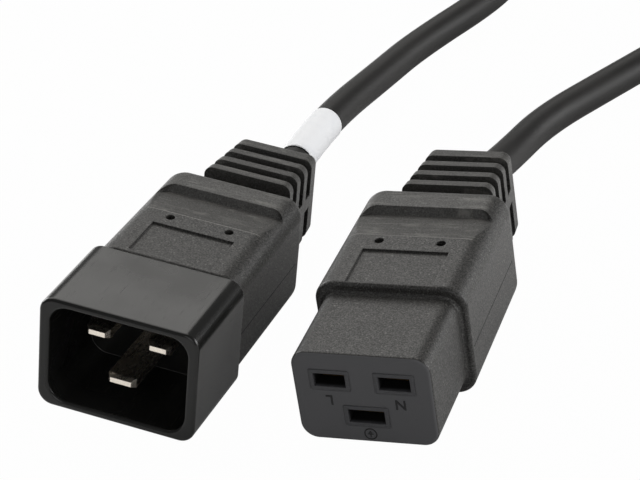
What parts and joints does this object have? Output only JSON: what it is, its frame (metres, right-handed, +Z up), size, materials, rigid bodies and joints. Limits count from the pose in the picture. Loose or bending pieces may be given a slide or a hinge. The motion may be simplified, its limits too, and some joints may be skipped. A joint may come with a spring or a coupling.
{
  "type": "c19 power connector",
  "caption": "Straight moulded C19 connector with finger scoops and a ribbed strain relief, on a flexible cord that ends in a C20 plug.",
  "frame": {"origin": "under the middle of the C19 connector, on the floor it lies on", "axes": "+Z up; -Y is the way the C19 mating face looks, so +Y runs back to its cord; +X is to the right seen from the mating face's side, towards the neutral slot"},
  "size_m": [0.1207, 0.3153, 0.0345],
  "materials": {
    "soft_pvc": "matt, fine grain",
    "cord_sheath": "satin",
    "hard_insert": "matt",
    "shroud": "gloss",
    "spring": "bright",
    "pin": "nickel plated, satin",
    "core_brown": "satin",
    "core_blue": "satin",
    "core_green_yellow": "satin",
    "tie": "satin",
    "label": "satin film"
  },
  "bodies": {
    "root": {"c19_overmould": "soft_pvc", "c19_insert": "hard_insert", "c19_insert_cap": "hard_insert", "c19_contact_line": "spring", "c19_contact_neutral": "spring", "c19_contact_earth": "spring", "c19_core_line": "core_brown", "c19_core_neutral": "core_blue", "c19_core_earth": "core_green_yellow", "c20_overmould": "soft_pvc", "c20_shroud": "shroud", "c20_insert_cap": "hard_insert", "c20_pin_line": "pin", "c20_pin_neutral": "pin", "c20_pin_earth": "pin", "c20_core_line": "core_brown", "c20_core_neutral": "core_blue", "c20_core_earth": "core_green_yellow", "cord_c19_run": "cord_sheath", "cord_c20_run": "cord_sheath", "cord_coil": "cord_sheath", "coil_tie": "tie", "cord_label": "label"}
  },
  "joints": []
}
